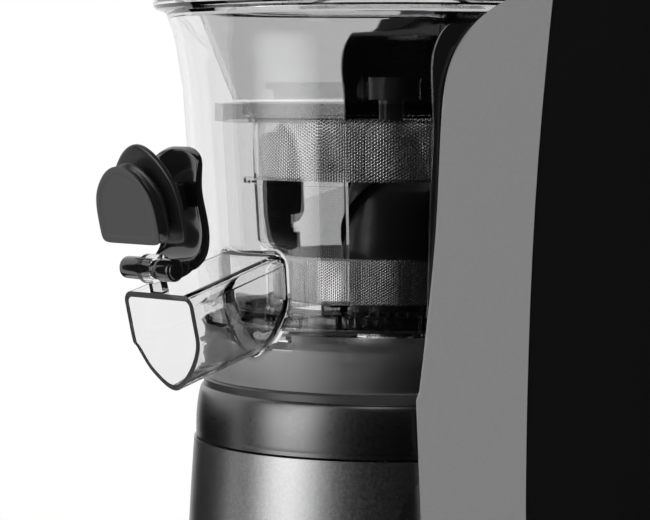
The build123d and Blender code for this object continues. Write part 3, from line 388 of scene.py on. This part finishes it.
# The finish of each slot
FINISHES = {
    "housing_metal": satin_metal("housing_metal", HOUSING_GREY, 0.33, metallic=1.0, sparkle=1.0),
    "band_metal": satin_metal("band_black", BAND_GREY, 0.30, metallic=1.0, sparkle=0.06, depth=0.000003),
    "seat_grey": moulded("seat_grey", SEAT_GREY, 0.3),
    "side_metal": satin_metal("side_panel_grey", PANEL_GREY, 0.55, metallic=0.35, sparkle=0.25),
    "black_plastic": moulded("column_black", BLACK, 0.22, texture=0.00001, coat=0.2),
    "base_plastic": moulded("base_black", SATIN_BLACK, 0.5),
    "rubber": moulded("foot_rubber", RUBBER_GREY, 0.75),
    "screw_steel": brushed("turned_steel", STEEL, 0.28),
    "bearing_steel": brushed("ground_steel", STEEL, 0.18, stretch=(1, 1, 1)),
    "core_steel": brushed("laminations", shaded(STEEL, 0.5), 0.42, stretch=(0.02, 0.02, 1)),
    "copper": brushed("enamelled_copper", COPPER, 0.3, stretch=(0.1, 0.1, 1)),
    "cast_alloy": satin_metal("cast_alloy", STEEL, 0.5, metallic=0.9, sparkle=0.6),
    "gear_plastic": moulded("gear_plastic", IVORY, 0.45),
    "knob_black": moulded("knob_black", SATIN_BLACK, 0.35),
    "lens": moulded("lens", LENS_BLUE, 0.1),
    "board_green": moulded("board_green", BOARD, 0.35),
    "capacitor_can": brushed("capacitor_can", STEEL, 0.3),
    "clear_smoky": clear_plastic(),
    "smoky": tinted("smoky_plastic", SMOKE, 0.05),
    "auger_plastic": auger_plastic(),
    "bowl_gears": moulded("bowl_gear_plastic", SATIN_BLACK, 0.4),
    "silicone": moulded("soft_silicone", RUBBER_GREY, 0.55),
    "lever_grey": GLOSS_BLACK,
    "bush": moulded("bush_plastic", SATIN_BLACK, 0.4),
    "magnet": brushed("nickel", STEEL, 0.15, stretch=(1, 1, 1)),
}

# Finishes that a single piece has instead of its slot's
SCREENS = {
    "upper_mesh": screen("upper_screen", columns=314, pitch=0.001278, hole=0.00070),
    "lower_mesh": screen("lower_screen", columns=326, pitch=0.001077, hole=0.00058),
}
OWN_FINISHES = {
    "bowl": bowl_plastic(),
    "brush_frame": tinted("brush_plastic", BRUSH_SMOKE, 0.02, BRUSH_RING_SMOKE, BRUSH_TEETH_SMOKE),
    "lid": tinted("lid_plastic", LID_SMOKE, 0.3),
    "cap_plug": plug_silicone(),
}

for row in frame["record"]["subparts"]:
    node = frame["nodes"][row["node"]]
    node.data.materials.clear()
    own = SCREENS.get(row["node"]) or OWN_FINISHES.get(row["node"])
    node.data.materials.append(own or FINISHES[row["material_slot"]])


# ---------------------------------------------------------------- spout cap

JOINTS = {joint["name"]: joint for joint in frame["record"]["behaviour"]["joints"]}
HINGE_POINT = Vector(JOINTS["cap_hinge"]["pos_m"])

# The cap's sizes are in millimetres from the hinge: x along the barrel, y up the open cap, and z the way
# the plug faces. Each outline: half width, bottom and top, then its right side from the middle below to the
# middle above, as a share of the half width, a share of the height, and millimetres above that
ARCH = (16.6, 11.9, 42.6), [
    (0, 0, 0), (0.55, 0, 0), (0.86, 0, 0), (0.985, 0, 1.0), (1.005, 0, 3.6), (1.005, 0.28, 0), (1, 0.44, 0),
    (0.93, 0.61, 0), (0.79, 0.73, 0), (0.61, 0.84, 0), (0.37, 0.94, 0), (0, 1, 0),
]
SHIELD = (19.1, 9.4, 48.6), [
    (0, 0, 0), (0.45, 0, 0), (0.78, 0, 0), (0.96, 0, 1.2), (1.005, 0, 4.6), (1.005, 0.25, 0), (1, 0.42, 0),
    (0.945, 0.56, 0), (0.83, 0.67, 0), (0.66, 0.78, 0), (0.4, 0.915, 0), (0, 1, 0),
]

# The plug from the back to the front: how much smaller than its outline, and how far out
FLANGE = [(5, -3.65), (0.9, -3.65), (0.2, -3.35), (0.0, -2.5), (0.2, -1.65), (0.9, -1.35), (5, -1.35)]
LIPS = [
    (3.4, -2.0), (3.4, 1.6), (3.0, 2.4), (0.8, 2.75), (0.3, 3.1), (0.3, 3.5), (0.8, 3.9), (2.6, 4.6),
    (3.0, 5.6), (3.0, 6.6), (1.3, 7.6), (0.3, 8.1), (0.15, 8.45), (0.5, 8.78), (1.2, 8.85), (2.8, 8.85),
    (3.1, 8.55), (4.2, 8.5), (9.0, 8.5),
]

# The lever's strap: half width, back (y, z), front (y, z), from the barrel to the tip
STRAP = [
    (12.4, (-3.2, -7.6), (1.4, -7.4)), (12.4, (-2.4, -12), (1.6, -10.5)), (12.4, (-0.6, -15.8), (3.2, -12.9)),
    (12.4, (2.4, -18.4), (5.4, -14.9)), (12.4, (9, -20.5), (10, -16.8)), (12.4, (17, -20.4), (17, -16.9)),
    (12.5, (25, -19.9), (25, -16.5)), (13.5, (30.5, -20.3), (29.9, -17.1)),
    (14.0, (35, -21.4), (34.2, -18.3)), (12.9, (38.1, -22.6), (37.3, -19.6)),
    (9.8, (40.2, -23.4), (39.4, -20.5)), (5.4, (41.3, -23.9), (40.5, -21.2)),
]

# The strap's rim as a share of its thickness, and the widths of its rounded edge and its rim
STRAP_RIM, STRAP_EDGE, STRAP_RIM_WIDTH = 0.22, 0.9, 2.3

# The arms between strap and barrel: their two sides (x), and back (y, z) and front (y, z) along them
ARM_SIDES = [(-12.4, -4.4), (4.4, 12.4)]
ARM = [((-3.9, 1.0), (3.0, 1.0)), ((-3.8, -4), (2.2, -4)), ((-3.0, -9), (1.5, -9))]

# The barrel, (radius, x), with its slimmer part in the spout's clip
BARREL = [
    (0.1, -15.7), (3.4, -15.7), (4.2, -15.4), (4.5, -14.8), (4.5, -5.2), (4.4, -4.5),
    (3.85, -4.3), (3.85, 4.3), (4.4, 4.5), (4.5, 5.2), (4.5, 11.4), (4.2, 12.0),
    (3.5, 12.1), (3.5, 12.7), (3.1, 13.0), (0.1, 13.0),
]
BARREL_STEPS = 16

# The stem between strap and plug: its corners (x, y), the middle of its height,
# and its rings (z) from the strap on
STEM_CORNERS, STEM_MIDDLE = [(-7, 18), (7, 18), (7, 30), (-7, 30)], 24
STEM_RINGS = (-17.0, -16.4, -10.0, -4.4, -3.7)


def at_hinge(x, y, z):
    """Millimetres from the hinge as a point in the shared frame."""
    return HINGE_POINT + (MOUTH_ACROSS * x + MOUTH_UP * y + MOUTH_NORMAL * z) * MM


def turns(steps):
    """The angles of even steps round a circle."""
    return [math.tau * step / steps for step in range(steps)]


def skin(rings, points, faces):
    """Adds quads between rings of points that have the same number, with both ends closed."""
    first, count = len(points), len(rings[0])
    for ring in rings:
        points.extend(ring)
    for row in range(len(rings) - 1):
        low = first + row * count
        for i in range(count):
            j = (i + 1) % count
            faces.append((low + i, low + j, low + count + j, low + count + i))
    for ring, back in ((0, True), (len(rings) - 1, False)):
        points.append(sum(rings[ring], Vector()) / count)
        centre, start = len(points) - 1, first + ring * count
        for i in range(count):
            j = (i + 1) % count
            faces.append((start + j, start + i, centre) if back else (start + i, start + j, centre))


def add_mesh(name, points, faces, material):
    """A new object in the scene; make_piece sets the body that it rides on."""
    mesh = bpy.data.meshes.new(name)
    mesh.from_pydata(points, [], faces)
    mesh.materials.append(material)
    thing = bpy.data.objects.new(name, mesh)
    bpy.context.scene.collection.objects.link(thing)
    return thing


def make_piece(name, points, faces, body, node, material, smoothing=2):
    """A smooth piece that rides on a body, and stands for a solid where it names one."""
    piece = add_mesh(name, points, faces, material)
    build = bmesh.new()
    build.from_mesh(piece.data)
    bmesh.ops.recalc_face_normals(build, faces=build.faces)
    build.to_mesh(piece.data)
    build.free()
    for face in piece.data.polygons:
        face.use_smooth = True
    modifier = piece.modifiers.new("smooth", "SUBSURF")
    modifier.levels = modifier.render_levels = smoothing
    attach(piece, body)
    if node:
        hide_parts(node)
    return piece


def outline(form, inset):
    """The closed outline of a form, smaller by the inset all round."""
    (half, low, high), side = form
    half, low, high = half - inset, low + inset, high - inset
    right = [(half * across, low + (high - low) * up + lift) for across, up, lift in side]
    return right + [(-x, y) for x, y in right[-2:0:-1]]


def cap_plug(material):
    """The flange, in front of it two soft lips with necks between them, and a shallow recess in the face."""
    points, faces = [], []
    for form, steps in ((SHIELD, FLANGE), (ARCH, LIPS)):
        skin([[at_hinge(x, y, out) for x, y in outline(form, inset)] for inset, out in steps], points, faces)
    return make_piece("cap_plug_soft", points, faces, "cap", "cap_plug", material)


def strap_ring(outer, inner, left, right, rim):
    """A section of strap between two (y, z) points: rounded edges, with a low rim on its front."""
    (y0, z0), (y1, z1) = outer, inner
    width = right - left

    def at(across, through):
        """Across from 0 to 1 from left to right, through from 0 at the back to 1 at the front."""
        return at_hinge(left + width * across, y0 + (y1 - y0) * through, z0 + (z1 - z0) * through)

    edge, lip = min(0.3, STRAP_EDGE / width), min(0.36, STRAP_RIM_WIDTH / width)
    low = 1 - rim
    side = [
        (1 - lip, low), (1 - edge * 1.5, 1.0), (1 - edge * 0.4, 0.93),
        (1.0, 0.5), (1 - edge * 0.4, 0.07), (1 - edge * 1.5, 0),
    ]
    return [at(*p) for p in side] + [at(0.5, 0)] + [at(1 - a, b) for a, b in side[::-1]] + [at(0.5, low)]


def cap_lever(material):
    """The finger strap, the two arms that hold it to the barrel, the barrel, and the stem behind the plug."""
    points, faces = [], []
    strap = [strap_ring(outer, inner, -half, half, STRAP_RIM) for half, outer, inner in STRAP]
    skin([ring[::-1] for ring in strap], points, faces)
    for left, right in ARM_SIDES:
        skin([strap_ring(outer, inner, left, right, 0.0)[::-1] for outer, inner in ARM], points, faces)
    skin([
        [at_hinge(x, radius * math.cos(a), radius * math.sin(a)) for a in turns(BARREL_STEPS)]
        for radius, x in BARREL
    ], points, faces)
    stem = [
        (x * wide, STEM_MIDDLE + (y - STEM_MIDDLE) * tall)
        for x, y in STEM_CORNERS for wide, tall in ((1, 0.8), (0.9, 1))
    ]
    skin([[at_hinge(x, y, out) for x, y in stem] for out in STEM_RINGS], points, faces)
    return make_piece("cap_lever_gloss", points, faces, "cap", "cap_lever", material)


cap_plug(OWN_FINISHES["cap_plug"])
cap_lever(GLOSS_BLACK)


# ---------------------------------------------------------------- band

# The band's rounded skin, (radius, height) in millimetres: up the outside and down the inside
BAND_SKIN = [
    (79.90, 141.0), (79.88, 144.0), (79.81, 147.0), (79.68, 150.0), (79.40, 153.0), (78.95, 156.0),
    (78.43, 158.6), (78.07, 160.0), (77.65, 160.9), (77.0, 161.5), (76.0, 161.4), (76.4, 160.0),
    (77.3, 156.0), (78.1, 150.0), (78.4, 141.2),
]
BAND_STEPS = 96


def band_skin(material):
    """A smooth skin round the band, whose slope grows gently towards the bowl."""
    count = len(BAND_SKIN)
    points = [
        Vector((radius * math.cos(a), radius * math.sin(a), z)) * MM
        for a in turns(BAND_STEPS) for radius, z in BAND_SKIN
    ]
    faces = []
    for step in range(BAND_STEPS):
        here, there = step * count, (step + 1) % BAND_STEPS * count
        for i in range(count):
            j = (i + 1) % count
            faces.append((here + i, there + i, there + j, here + j))
    return make_piece("upper_band_skin", points, faces, "base", None, material, 1)


band_skin(FINISHES["band_metal"])


# ---------------------------------------------------------------- studio

# The floor, the level of the sky's light, and the height that the lit cloths face
FLOOR_RADIUS, FLOOR_STEPS = 0.5, 72
FLOOR_PALE, FLOOR_PALER = (0.86,) * 3, (0.90,) * 3
FLOOR_GLOW = 0.8
SKY = 0.8
AIM_HEIGHT = 0.22

# The dark cloths
CLOTH_BLACK, CLOTH_DARK = (0.004,) * 3, (0.012,) * 3
ROOM_STEEPEST, ROOM_ROWS, ROOM_COLUMNS = 84, 16, 36
MAT_HEIGHT, MAT_STEPS = 0.0004, 24
FLAG_FOOT, FLAG_STEPS = 0.0005, 12

CAMERA_PLACE, CAMERA_WAY = (0.9981, -0.2122, 0.2823), (-0.98093, 0.18159, -0.06935)
CAMERA_LENS, CAMERA_SENSOR = 138.46, 36.0
CAMERA_NEAREST, CAMERA_FARTHEST = 0.05, 50.0


def span(start, end, steps):
    """Even steps from start to end, both included."""
    return [start + (end - start) * step / steps for step in range(steps + 1)]


def grid_faces(rows, columns):
    """Quads between the points of a grid that is listed row by row."""
    return [
        (corner, corner + 1, corner + columns + 1, corner + columns)
        for row in range(rows - 1) for corner in range(row * columns, row * columns + columns - 1)
    ]


def lit_white(name, share):
    """A pale surface that shows as white, and still takes the shadow of what stands on it."""
    finish = Finish(name)
    speckle = finish.noise(60.0)
    pale = finish.blend(speckle, FLOOR_PALE, FLOOR_PALER)
    matt = finish.node("ShaderNodeBsdfDiffuse", {}, {"Color": pale})
    glow = finish.node("ShaderNodeEmission", {}, {"Color": (*WHITE, 1), "Strength": 1.0})
    lit = finish.seen_ray() * share
    return finish.show(finish.node("ShaderNodeMixShader", {}, {0: lit, 1: matt, 2: glow}))


def make_floor():
    rim = [around(bearing, FLOOR_RADIUS, 0.0) for bearing in span(0, 360, FLOOR_STEPS)[:-1]]
    floor = add_mesh("floor", rim, [tuple(range(FLOOR_STEPS))], lit_white("floor_white", FLOOR_GLOW))


def make_world():
    """White where the background shows, and a plain grey level of light."""
    finish = Finish("studio", bpy.data.worlds)
    level = finish.seen_ray().calc("MINIMUM", 1.0) * (1 - SKY) + SKY
    sky = finish.node("ShaderNodeBackground", {}, {"Color": (*WHITE, 1), "Strength": level})
    bpy.context.scene.world = finish.show(sky, "ShaderNodeOutputWorld")


def soft_box(name, bearing, distance, height, width, tall, level):
    """A lit cloth that fades towards its edges."""
    finish = Finish(name)
    place = finish.place()

    def fade(axis, size):
        share = finish.part(place, axis) * (2 / size)
        return 1 - share * share

    lit = finish.blend(fade("X", width) * fade("Y", tall), (0.0, 0.0, 0.0), WHITE)
    glow = finish.node("ShaderNodeEmission", {}, {"Color": lit, "Strength": level})
    corners = [Vector((x * width / 2, y * tall / 2, 0)) for x, y in ((-1, -1), (1, -1), (1, 1), (-1, 1))]
    cloth = add_mesh(name, corners, [(0, 1, 2, 3)], finish.show(glow))
    cloth.location = around(bearing, distance, height)
    cloth.rotation_mode = "QUATERNION"
    cloth.rotation_quaternion = (Vector((0, 0, AIM_HEIGHT)) - cloth.location).to_track_quat("Z", "Y")
    cloth.visible_camera = False


def dark_cloth(name, points, rows, columns):
    """A black cloth which only reflections and clear plastic show."""
    finish = Finish(name)
    weave = finish.blend(finish.noise(300.0), CLOTH_BLACK, CLOTH_DARK)
    black = finish.show(finish.node("ShaderNodeBsdfDiffuse", {}, {"Color": weave}))
    cloth = add_mesh(name, points, grid_faces(rows, columns), black)
    cloth.visible_camera = cloth.visible_diffuse = cloth.visible_shadow = False


def dark_room(start, end, distance):
    """Cloth all round the set between two bearings, from under the floor to over the top."""
    rises = [math.radians(rise) for rise in span(-ROOM_STEEPEST, ROOM_STEEPEST, ROOM_ROWS)]
    bearings = span(start, end, ROOM_COLUMNS)
    points = [
        around(bearing, distance * math.cos(rise), distance * math.sin(rise))
        for rise in rises for bearing in bearings
    ]
    dark_cloth("dark_room", points, len(rises), len(bearings))


def dark_mat(start, end, inner, outer):
    """Cloth just over the floor between two bearings."""
    bearings = span(start, end, MAT_STEPS)
    points = [around(bearing, distance, MAT_HEIGHT) for bearing in bearings for distance in (inner, outer)]
    dark_cloth("dark_mat", points, len(bearings), 2)


def low_flag(start, end, distance, height):
    """A low upright cloth beside the body."""
    bearings = span(start, end, FLAG_STEPS)
    points = [around(bearing, distance, level) for bearing in bearings for level in (FLAG_FOOT, height)]
    dark_cloth("low_flag", points, len(bearings), 2)


def make_camera():
    camera = bpy.data.objects.new("camera", bpy.data.cameras.new("camera"))
    camera.data.lens, camera.data.sensor_width = CAMERA_LENS, CAMERA_SENSOR
    camera.data.clip_start, camera.data.clip_end = CAMERA_NEAREST, CAMERA_FARTHEST
    camera.location = CAMERA_PLACE
    camera.rotation_mode = "QUATERNION"
    camera.rotation_quaternion = Vector(CAMERA_WAY).to_track_quat("-Z", "Y")
    bpy.context.scene.collection.objects.link(camera)
    bpy.context.scene.camera = camera


make_camera()
make_floor()
make_world()
soft_box("front_box", bearing=19, distance=1.5, height=0.45, width=1.2, tall=2.0, level=3.9)
soft_box("top_box", bearing=66, distance=1.3, height=1.5, width=0.8, tall=0.8, level=2.4)
dark_room(start=-18, end=210, distance=4.0)
dark_mat(start=44, end=210, inner=0.09, outer=0.52)
low_flag(start=-62, end=-14, distance=0.3, height=0.165)
bpy.context.scene.view_settings.view_transform = "Standard"
